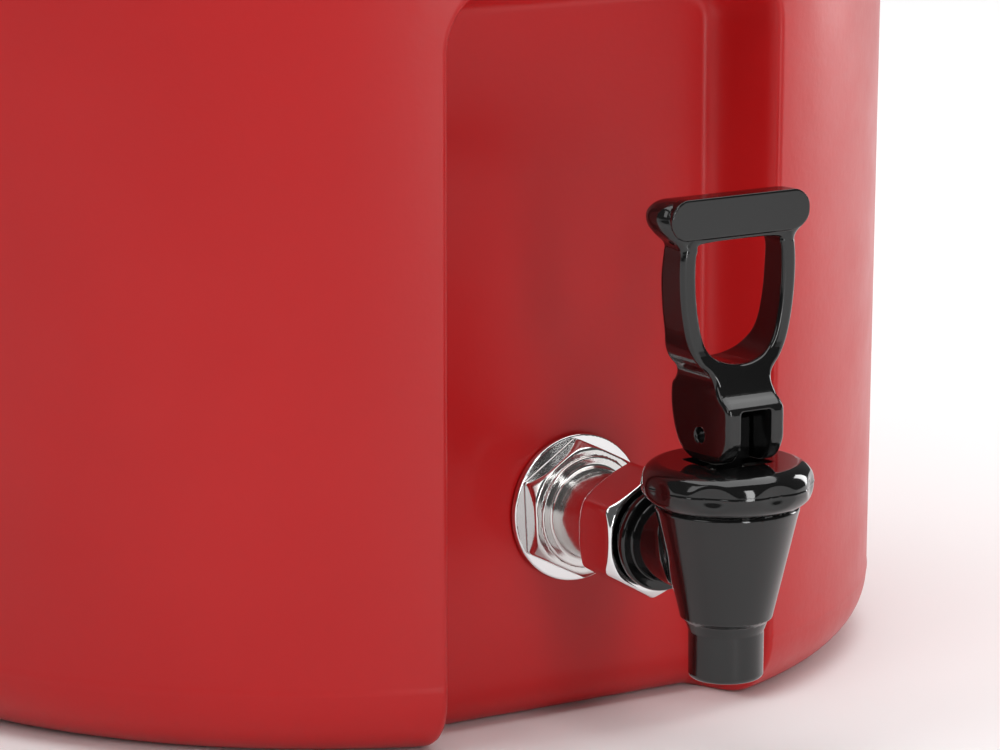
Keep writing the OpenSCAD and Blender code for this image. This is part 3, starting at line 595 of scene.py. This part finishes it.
def latch_pieces():
    """Bracket, arm and catch of one latch, facing +X."""
    pivot_z = joint_point("front_latch_swing")[2]
    pivot_u = -joint_point("front_latch_swing")[1]
    wide = node_box("latch_arm_front")[1][0]
    face = side_r(pivot_z) + 4
    catch_low, catch_high = node_box("catch_front")
    lid_r = LID_HIGH[0]

    def bracket(x, y, z):
        plate = brick(x, y, z, (face - 7, 0, pivot_z - 6), (7, wide + 7, 14), 2.2)
        ear = brick(x, np.abs(y), z, ((face + pivot_u) / 2 - 2, wide + 3, pivot_z),
                    ((pivot_u - face) / 2 + 2, 2.5, 5.5), 1)
        knuckle = rod(x - pivot_u, z - pivot_z, np.abs(y), 5.5, wide + 0.5, wide + 5.5, 0.9)
        solid = smooth_min(plate, np.minimum(ear, knuckle), 2.5)
        gap = brick(x, y, z, (pivot_u + 2, 0, pivot_z), (9.2, wide + 0.5, 30), 0.3)
        body = np.sqrt(x * x + y * y) - side_r(pivot_z + 8) - 0.2
        pin = rod(x - pivot_u, z - pivot_z, y, 1.62, -60, 60)
        screw = rod(np.abs(y) - wide * 0.6, z - pivot_z + 14, x, 1.8, 0, 400)
        hollow = brick(x, y, z, (face, 0, pivot_z - 14), (0.7, wide + 2, 4.4), 0.6)
        holes = np.minimum(np.minimum(body, pin), screw)
        open_front = smooth_max(solid, -gap, 0.5)
        return smooth_max(smooth_max(open_front, -holes, 0.3), -hollow, 0.4)

    def arm(x, y, z):
        u, h = -(x - pivot_u), -(z - pivot_z)
        height = catch_high[2] - pivot_z
        knuckle = rod(u, h, y, 4.6, -wide, wide, 0.7)
        blade = brick(u, y, h, (0, 0, (height + 5) / 2), (2.4, wide, (height + 5) / 2), 1.1)
        lip = brick(u, y, h, (-5, 0, height + 2.75), (2.9, wide - 2, 2.2), 0.8)
        tilt = math.radians(24)
        up = h - height
        tu = u * math.cos(tilt) - up * math.sin(tilt)
        th = u * math.sin(tilt) + up * math.cos(tilt)
        tab = brick(tu, y, th, (0.4, 0, 5.4), (1.7, wide, 4.6), 1.2)
        solid = smooth_min(smooth_min(knuckle, blade, 3), np.minimum(tab, lip), 1.2)
        groove_half = (height - 22) / 2
        groove = brick(u, np.abs(y), h, (2.6, wide * 0.44, height / 2 + 1), (0.9, 2, groove_half), 0.8)
        pin = rod(u, h, y, 1.66, -60, 60)
        return smooth_max(smooth_max(solid, -groove, 0.7), -pin, 0.3)

    def catch(x, y, z):
        plate = brick(x, y, z, (lid_r - 1.5, 0, (catch_low[2] + catch_high[2]) / 2),
                      (4.5, wide + 2, (catch_high[2] - catch_low[2]) / 2), 1.6)
        lug = brick(x, y, z, (lid_r + 1, 0, catch_high[2] - 2.5), (7, wide - 1, 2.5), 1.0)
        lid = np.sqrt(x * x + y * y) - lid_r - 0.2
        screw = rod(np.abs(y) - wide * 0.66, z - RIM_Z + 1, x, 1.8, 0, 400)
        return smooth_max(smooth_min(plate, lug, 2), -np.minimum(lid, screw), 0.3)

    reach = pivot_u + 9
    bracket_box = (face - 6, -wide - 8, pivot_z - 21), (reach, wide + 8, pivot_z + 9)
    arm_box = (pivot_u - 10, -wide - 1, pivot_z - 62), (reach, wide + 1, pivot_z + 6)
    catch_box = (lid_r - 3, -wide - 3, catch_low[2] - 1), (lid_r + 9, wide + 3, catch_high[2] + 1)
    return (carved("latch_bracket", bracket, *bracket_box, 0.6),
            carved("latch_arm", arm, *arm_box, 0.6),
            carved("catch", catch, *catch_box, 0.5))


def screw_mesh(name):
    """A pan-headed screw with a cross recess, its seat at the origin, pointing along -X."""
    def field(x, y, z):
        head = smooth_max(ball(x, y, z, (-3.4, 0, 0), 5.0),
                          smooth_max(np.sqrt(y * y + z * z) - 3.3, -x, 0.3), 0.5)
        shaft = rod(y, z, x, 1.7, -7.4, 1)
        slot = np.minimum(brick(x, y, z, (1.7, 0, 0), (0.9, 0.42, 1.9), 0.1),
                          brick(x, y, z, (1.7, 0, 0), (0.9, 1.9, 0.42), 0.1))
        return smooth_max(np.minimum(head, shaft), -slot, 0.15)
    return carved(name, field, (-8, -3.8, -3.8), (2.4, 3.8, 3.8), 0.28)


def screw_group(node, places):
    """Copies of one screw at each (radius, sideways, height, turn) place, joined as one piece."""
    pattern = screw_mesh(node + "_heads")
    points = np.array([v.co for v in pattern.data.vertices]) / MM
    quads = np.array([list(p.vertices) for p in pattern.data.polygons])
    all_points, all_quads = [], []
    for k, (r, side, z, turn) in enumerate(places):
        spin = k * GOLDEN_TURN
        y = points[:, 1] * math.cos(spin) - points[:, 2] * math.sin(spin) + side
        h = points[:, 1] * math.sin(spin) + points[:, 2] * math.cos(spin) + z
        x = points[:, 0] + r
        all_quads.append(quads + len(points) * k)
        east = x * math.cos(turn) - y * math.sin(turn)
        north = x * math.sin(turn) + y * math.cos(turn)
        all_points.append(np.stack([east, north, h], 1))
    bpy.data.objects.remove(pattern)
    group = mesh_object(node + "_group", np.concatenate(all_points), np.concatenate(all_quads))
    return finished(group, node)


SIDES = {"front": -math.pi / 2, "back": math.pi / 2, "left": math.pi, "right": 0.0}
PIVOT_Z = joint_point("front_latch_swing")[2]
LATCH_HALF = node_box("latch_arm_front")[1][0]
for piece in latch_pieces():
    for side in ("front", "back"):
        node = f"{piece.name}_{side}"
        finished(turned_copy(piece, node + "_moulding", SIDES[side]), node)
    bpy.data.objects.remove(piece)
for side in ("front", "back"):
    screw_group(f"latch_screws_{side}",
            [(side_r(PIVOT_Z) + 4, s * LATCH_HALF * 0.6, PIVOT_Z - 14, SIDES[side]) for s in (-1, 1)])
    screw_group(f"catch_screws_{side}",
                [(LID_HIGH[0] + 3, s * LATCH_HALF * 0.66, RIM_Z - 1, SIDES[side]) for s in (-1, 1)])


# ---------------------------------------------------------------- carry handles

def carry_pieces():
    """Bracket and handle of the right carry handle, facing +X."""
    pivot = joint_point("right_handle_swing")
    low, high = node_box("carry_handle_right")
    outer = high[1]
    plate_w = node_box("carry_bracket_right")[1][1]
    drop = pivot[2] - low[2] - 8
    wall_r = side_r(pivot[2]) + 4

    def bracket(x, y, z):
        r = np.sqrt(x * x + y * y)
        plate = smooth_max(r - wall_r, smooth_max(np.abs(y) - plate_w, np.abs(z - pivot[2]) - 16, 8), 1.4)
        lug_y = (outer + 0.5 + plate_w) / 2
        lug = brick(x, np.abs(y), z, (pivot[0] / 2 + 55, lug_y, pivot[2]),
                    (pivot[0] / 2 - 55, (plate_w - outer - 0.5) / 2, 8), 1.2)
        knuckle = rod(x - pivot[0], z - pivot[2], np.abs(y), 8, outer + 0.5, plate_w, 1.2)
        solid = smooth_min(plate, np.minimum(lug, knuckle), 2.5)
        arm_gap = rod(x - pivot[0], z - pivot[2], y, 9.8, -outer - 0.45, outer + 0.45, 0.2)
        pin = rod(x - pivot[0], z - pivot[2], y, 2.62, -200, 200)
        body = r - side_r(pivot[2] + 16) - 0.2
        return smooth_max(smooth_max(solid, -arm_gap, 0.4), -np.minimum(pin, body), 0.4)

    def handle(x, y, z):
        u, h = x - pivot[0], z - pivot[2]
        knuckle = rod(u, h, np.abs(y), 7, outer - 7, outer, 1.2)
        arm = brick(u, np.abs(y), h, (0, outer - 3.5, -drop / 2), (5, 3.5, drop / 2), 2.2)
        grip = rod(u, h + drop, y, 7.4, -outer, outer, 3.0)
        waist = 0.35 * (1 + np.cos(np.clip(y / (outer - 8), -1, 1) * math.pi))
        swell = np.sqrt(u * u + (h + drop) ** 2) - 8 + waist
        fat = smooth_max(swell, np.abs(y) - outer + 9, 1.5)
        groove = np.maximum(np.cos(y * 2 * math.pi / 6.5), 0) ** 6 * (np.abs(y) < outer - 14)
        rib = np.minimum(fat, grip) + 0.22 * groove
        solid = smooth_min(smooth_min(arm, rib, 4), knuckle, 3)
        return smooth_max(solid, -rod(u, h, y, 2.66, -200, 200), 0.4)

    reach = pivot[0] + 9.5
    bracket_box = (112, -plate_w - 1, pivot[2] - 17.5), (reach, plate_w + 1, pivot[2] + 17.5)
    handle_box = (pivot[0] - 9.5, -outer - 1, low[2] - 1), (reach, outer + 1, high[2] + 1)
    return (carved("carry_bracket", bracket, *bracket_box, 0.8),
            carved("carry_handle", handle, *handle_box, 0.7))


for piece in carry_pieces():
    for side in ("left", "right"):
        node = f"{piece.name}_{side}"
        finished(turned_copy(piece, node + "_moulding", SIDES[side]), node)
    bpy.data.objects.remove(piece)
CARRY_Z = joint_point("right_handle_swing")[2]
for side in ("left", "right"):
    screw_group(f"carry_screws_{side}",
                [(side_r(CARRY_Z) + 4, 0, CARRY_Z + v * 9, SIDES[side] + a * math.radians(11))
                                         for a in (-1, 1) for v in (-1, 1)])


# ---------------------------------------------------------------- shank, washer and nuts

BORE_R = 6.2
NECK_R = 10.2
THREAD_R = 10.55
THREAD_PITCH = 1.27
WASHER_R = 16.72
SHANK_FLATS = 27.75
SHANK_TURN = math.radians(3)
NUT_FLATS = 25.2
INLET_R = 9.1

def shank_out(x, y, z):
    """Coordinates about the shank's axis: across, up, and out from the recess's floor."""
    return x, z - SHANK_Z, -y - RECESS_Y


def hexagon(a, b, flats, turn=0.0):
    """Distance to a hexagon of that size across its flats, turned by an angle."""
    best = None
    for k in range(3):
        t = turn + k * math.pi / 3
        side = np.abs(a * math.cos(t) + b * math.sin(t)) - flats / 2
        best = side if best is None else smooth_max(best, side, 0.5)
    return best


def shank_pieces():
    """Shank with its fixed hexagon, flange washer and the coupling nut."""
    def neck(x, y, z):
        a, b, s = shank_out(x, y, z)
        r = np.sqrt(a * a + b * b)
        hexed = smooth_max(hexagon(a, b, SHANK_FLATS, SHANK_TURN), np.abs(s - 4.35) - 2.15, 0.5)
        crown = r - 16.3 + 0.72 * np.maximum(s - 3.6, 0)
        head = smooth_max(hexed, crown, 0.5)
        collar = rod(a, b, s, 12.6, 6, 7.2, 0.4)
        thread = r - THREAD_R + 0.28 * np.cos(s * 2 * math.pi / THREAD_PITCH)
        tube = smooth_max(r - NECK_R, np.abs(s - 10) - 11.5, 0.3)
        threaded = smooth_max(thread, np.abs(s - 23.4) - 1.9, 0.5)
        tail = rod(a, b, s, 9.2, -50, 26.6, 0.5)
        solid = np.minimum(np.minimum(head, smooth_min(collar, tube, 0.8)), np.minimum(threaded, tail))
        return smooth_max(solid, BORE_R - r, 0.3)

    def washer(x, y, z):
        a, b, s = shank_out(x, y, z)
        return smooth_max(rod(a, b, s, WASHER_R, 0.6, 2.2, 0.45), -(np.sqrt(a * a + b * b) - 10.9), 0.3)

    def coupling(x, y, z):
        a, b, s = shank_out(x, y, z)
        r = np.sqrt(a * a + b * b)
        body = smooth_max(hexagon(a, b, NUT_FLATS), np.abs(s - 27.45) - 6.15, 0.6)
        front = r - 14.6 + 1.15 * np.maximum(s - 31.9, 0)
        back = r - 14.6 + 1.15 * np.maximum(22.9 - s, 0)
        solid = smooth_max(smooth_max(body, front, 0.7), back, 0.7)
        mouth = rod(a, b, s, 10.75, 15, 31.2, 0.2)
        return smooth_max(solid, -np.minimum(mouth, r - NECK_R), 0.5)

    box = lambda r, s0, s1: ((-r, -RECESS_Y - s1, SHANK_Z - r), (r, -RECESS_Y - s0, SHANK_Z + r))
    return (carved("shank_neck", neck, *box(17, -24, 27.5), 0.4),
            carved("flange_ring", washer, *box(17.5, 0, 3), 0.3),
            carved("coupling_hexagon", coupling, *box(15.6, 20.5, 34.2), 0.32))


# ---------------------------------------------------------------- tap body and bonnet

SPOUT_LOW = -25.4
CUP_HIGH = 12.35
BONNET_LOW = 12.6
BONNET_MID = 17.2
BONNET_HIGH = 21.8
DIMPLES = 8

def cup_profile(h):
    """Outer radius of the tap body at a height above the shank's axis."""
    heights = [SPOUT_LOW, -24.6, -15, -12.9, -12, -6, 3, 9.5, 11.6, 12.4]
    radii = [7.65, 8.05, 8.1, 8.9, 9.9, 11.3, 13.4, 14.9, 15.45, 15.35]
    return np.interp(h, heights, radii)


def tap_body_field(x, y, z):
    h = z - SHANK_Z
    r = np.sqrt(x * x + (y - TAP_Y) ** 2)
    out = -(y - TAP_Y)
    outer = (r - cup_profile(h)) * 0.93
    outer = smooth_max(smooth_max(outer, h - CUP_HIGH, 0.5), SPOUT_LOW - h, 0.7)
    tube = rod(x, h, out, INLET_R, -33, 2, 0.4)
    joined = smooth_min(outer, tube, 3.5)
    bead = rod(x, h, out, 11.6, -24.6, -22.4, 0.7)
    joined = smooth_min(joined, bead, 0.6)
    well = smooth_max((r - cup_profile(h) + 2.2) * 0.93, -9.5 - h, 1.0)
    spout = rod(x, y - TAP_Y, h, 6.3, -60, 0, 0.4)
    inlet = rod(x, h, out, BORE_R, -60, -9, 0.3)
    return smooth_max(joined, -np.minimum(np.minimum(well, spout), inlet), 0.6)


def bonnet_field(x, y, z):
    h = z - SHANK_Z
    dx, dy = x, y - TAP_Y
    r = np.sqrt(dx * dx + dy * dy)
    angle = np.arctan2(dy, dx)
    share = 2 * math.pi / DIMPLES
    wedge = angle - np.round(angle / share) * share
    low, mid, high = BONNET_LOW, BONNET_MID, BONNET_HIGH
    wide_part = np.maximum(r - 14.2, 0) / 4.25
    high_part = np.maximum(np.abs(h - mid) - 0.2, 0) / 4.45
    ring = np.sqrt(wide_part ** 2 + high_part ** 2) - 1
    body = np.maximum(ring * 3.4, np.abs(h - mid) - (high - low) / 2)
    across, out = r * np.sin(wedge), r * np.cos(wedge)
    scoop = ball(across / 1.62, out, (h - mid - 0.1) / 1.05, (0, 21.3, 0), 3.75)
    body = smooth_max(body, -scoop, 1.3)
    seam = 0.10 * np.exp(-((h - mid) / 0.22) ** 2)
    hole = smooth_max(np.abs(dx) - 7.4, np.abs(dy) - 6.2, 1.0)
    inner = rod(dx, dy, h, 12.6, 0, 18.3, 0.6)
    foot = rod(dx, dy, h, 14.9, 11.4, 13.5, 0.3)
    return smooth_max(np.minimum(body - seam, foot), -np.minimum(hole, inner), 0.5)


# ---------------------------------------------------------------- lever

LEG_WIDE = 3.5
HOLE_LOW = 21.8
HOLE_HIGH = LEVER_H - 10.4
HOLE_SHAPE = [(3.4, 0), (6.4, 0.05), (8.6, 0.15), (10.0, 0.32), (10.9, 0.56), (11.1, 0.8),
              (10.6, 0.94), (8.6, 1.0)]


def lever_side_outline():
    """Side view of the lever: distance towards the front, height above its foot."""
    front = [(3.0, 0), (7.5, 1.2), (10.2, 5), (10.5, 9), (10.4, 12.4), (9.4, 13.8), (7.6, 15.2),
             (6.1, 17.6), (5.0, 21),
             (4.2, 25), (4.0, 34), (4.0, 44), (4.0, LEVER_H - 8.5), (4.0, LEVER_H - 3.5),
             (3.0, LEVER_H - 0.8), (0.5, LEVER_H)]
    back = [(-3.6, LEVER_H - 0.4), (-5.8, LEVER_H - 2.6), (-6.2, LEVER_H - 5.2),
            (-5.0, LEVER_H - 7.6), (-3.6, LEVER_H - 10),
            (-4.2, 40), (-4.4, 34), (-4.9, 28), (-7.0, 23), (-9.1, 18.8), (-10.2, 16.8),
            (-11.1, 15.4), (-11.2, 11),
            (-9.9, 6), (-7.4, 2.2), (-3.5, 0.2)]
    return flowing(front + back, 5)


def block_outline():
    """Front view of the lever's lower block, narrowing to the waist under the finger hole."""
    right = [(7.0, 0.0), (7.3, 2), (7.3, 15.4), (6.9, 18.2), (6.3, 21.5), (4.5, 25), (0.1, 26)]
    return np.array(right + [(-u, v) for u, v in reversed(right)])


def lever_field():
    """The lever's field: both views cut together, with the finger hole, the flat face and the slot."""
    side = lever_side_outline()
    block = block_outline()
    span = HOLE_HIGH - HOLE_LOW
    rim = [(w, HOLE_LOW + s * span) for w, s in HOLE_SHAPE]
    ring = [(1.0, HOLE_LOW - 0.4)] + rim
    hole = flowing(ring + [(-u, v) for u, v in reversed(ring)], 5)
    bar_mid = LEVER_H - 5.0

    def field(x, y, z):
        f, v = TAP_Y - y, z - LEVER_FOOT
        a = outline_field(f, v, side)
        hollow = outline_field(x, v, hole)
        bar = brick(x, 0 * f, v, (0, 0, bar_mid), (BAR_HALF - 0.3, 99, 5.0), 4.9)
        b = smooth_min(smooth_min(outline_field(x, v, block), bar, 1.5), hollow - LEG_WIDE, 3.0)
        leg = np.clip((v - 20) / 6, 0, 1) * np.clip((LEVER_H - 9 - v) / 3, 0, 1)
        flare = 1.1 * leg * np.clip((3.5 - f) / 9, 0, 1) ** 1.2
        edge = 1.3 + 3.0 * np.clip((v - LEVER_H + 12) / 7, 0, 1)
        solid = smooth_max(a, b - 0.5 * flare, edge)
        cut = smooth_max(solid, -(hollow - 0.5 * flare), 1.0)
        cheek = brick(x, f, v, (0, 0.5, bar_mid), (BAR_HALF - 1.6, 30, 4.3), 4.2)
        plate = smooth_max(cheek, np.abs(f - 3.0) - 1.35, 0.25)
        out = np.minimum(cut, smooth_max(plate, b + 0.4, 0.3))
        slot = brick(x, f, v, (0, 8.8 - 2.0, 0), (3.85, 12.2, 12.2), 0.8)
        pin = rod(f, v - 6, x, 1.55, -60, 60)
        return smooth_max(out, -np.minimum(slot, pin), 0.6)

    return field


def tap_pieces():
    half = BAR_HALF + 1
    lever = carved("lever_moulding", lever_field(), (-half, TAP_Y - 13, LEVER_FOOT - 1),
                   (half, TAP_Y + 13, LEVER_FOOT + LEVER_H + 1), 0.42)
    bonnet = carved("bonnet_ring", bonnet_field, (-19.5, TAP_Y - 19.5, SHANK_Z + 11),
                    (19.5, TAP_Y + 19.5, SHANK_Z + 23), 0.38)
    body = carved("tap_cup", tap_body_field, (-17, TAP_Y - 17, SHANK_Z - 26.5),
                  (17, TAP_Y + 35, SHANK_Z + 14), 0.42)
    return lever, bonnet, body


SHANK_SET = shank_pieces()
for piece, node in zip(SHANK_SET, ("shank", "flange_washer", "coupling_nut")):
    finished(piece, node)
TAP_SET = tap_pieces()
for piece, node in zip(TAP_SET, ("tap_lever", "bonnet", "tap_body")):
    finished(piece, node)


# ---------------------------------------------------------------- camera, floor and light

def aim(obj, target):
    direction = Vector(target) - obj.location
    obj.rotation_euler = direction.to_track_quat("-Z", "Y").to_euler()


def softbox(name, place, target, size, power, colour=(1, 1, 1)):
    """An area light of a width and height, in metres, aimed at a point."""
    light = bpy.data.lights.new(name, "AREA")
    light.shape = "RECTANGLE"
    light.size, light.size_y = size
    light.energy = power
    light.color = colour
    obj = bpy.data.objects.new(name, light)
    obj.location = place
    bpy.context.scene.collection.objects.link(obj)
    aim(obj, target)
    return obj


def floor_material():
    s = Shader("pale_floor", Roughness=0.6, Specular_IOR_Level=0.2)
    s.feed("Base Color", s.ramp(s.noise(3, 2), [(0.3, (0.88, 0.88, 0.88)), (0.7, (0.90, 0.90, 0.90))]))
    return s.material


lens = bpy.data.cameras.new("photo_camera")
lens.lens = 169.8
lens.sensor_width = 36
lens.clip_end = 50
camera = bpy.data.objects.new("photo_camera", lens)
camera.location = (-0.56347, -0.95968, 0.29281)
camera.rotation_euler = Vector((0.52587, 0.82543, -0.20525)).to_track_quat("-Z", "Y").to_euler()
bpy.context.scene.collection.objects.link(camera)
bpy.context.scene.camera = camera

floor_half = 6000.0
floor = mesh_object("pale_floor", [(-floor_half, -floor_half, 0), (floor_half, -floor_half, 0),
                                   (floor_half, floor_half, 0), (-floor_half, floor_half, 0)],
                                   [(0, 1, 2, 3)])
floor.data.materials.append(floor_material())

world = bpy.data.worlds.new("studio")
world.use_nodes = True
world.node_tree.nodes["Background"].inputs["Color"].default_value = (1, 1, 1, 1)
world.node_tree.nodes["Background"].inputs["Strength"].default_value = 0.10
bpy.context.scene.world = world
bpy.context.scene.view_settings.view_transform = "Standard"

look_at = (0, -0.15, 0.08)
softbox("front_strip", (-0.12, -1.7, 0.35), look_at, (0.3, 1.4), 12)
softbox("right_strip", (1.6, 0.0, 0.45), look_at, (0.35, 1.2), 12)
softbox("key_left", (-1.7, -0.5, 1.1), look_at, (0.8, 1.2), 7)
softbox("overhead", (0.2, 0.3, 3.0), (0.2, 0.3, 0), (4.0, 4.0), 140)
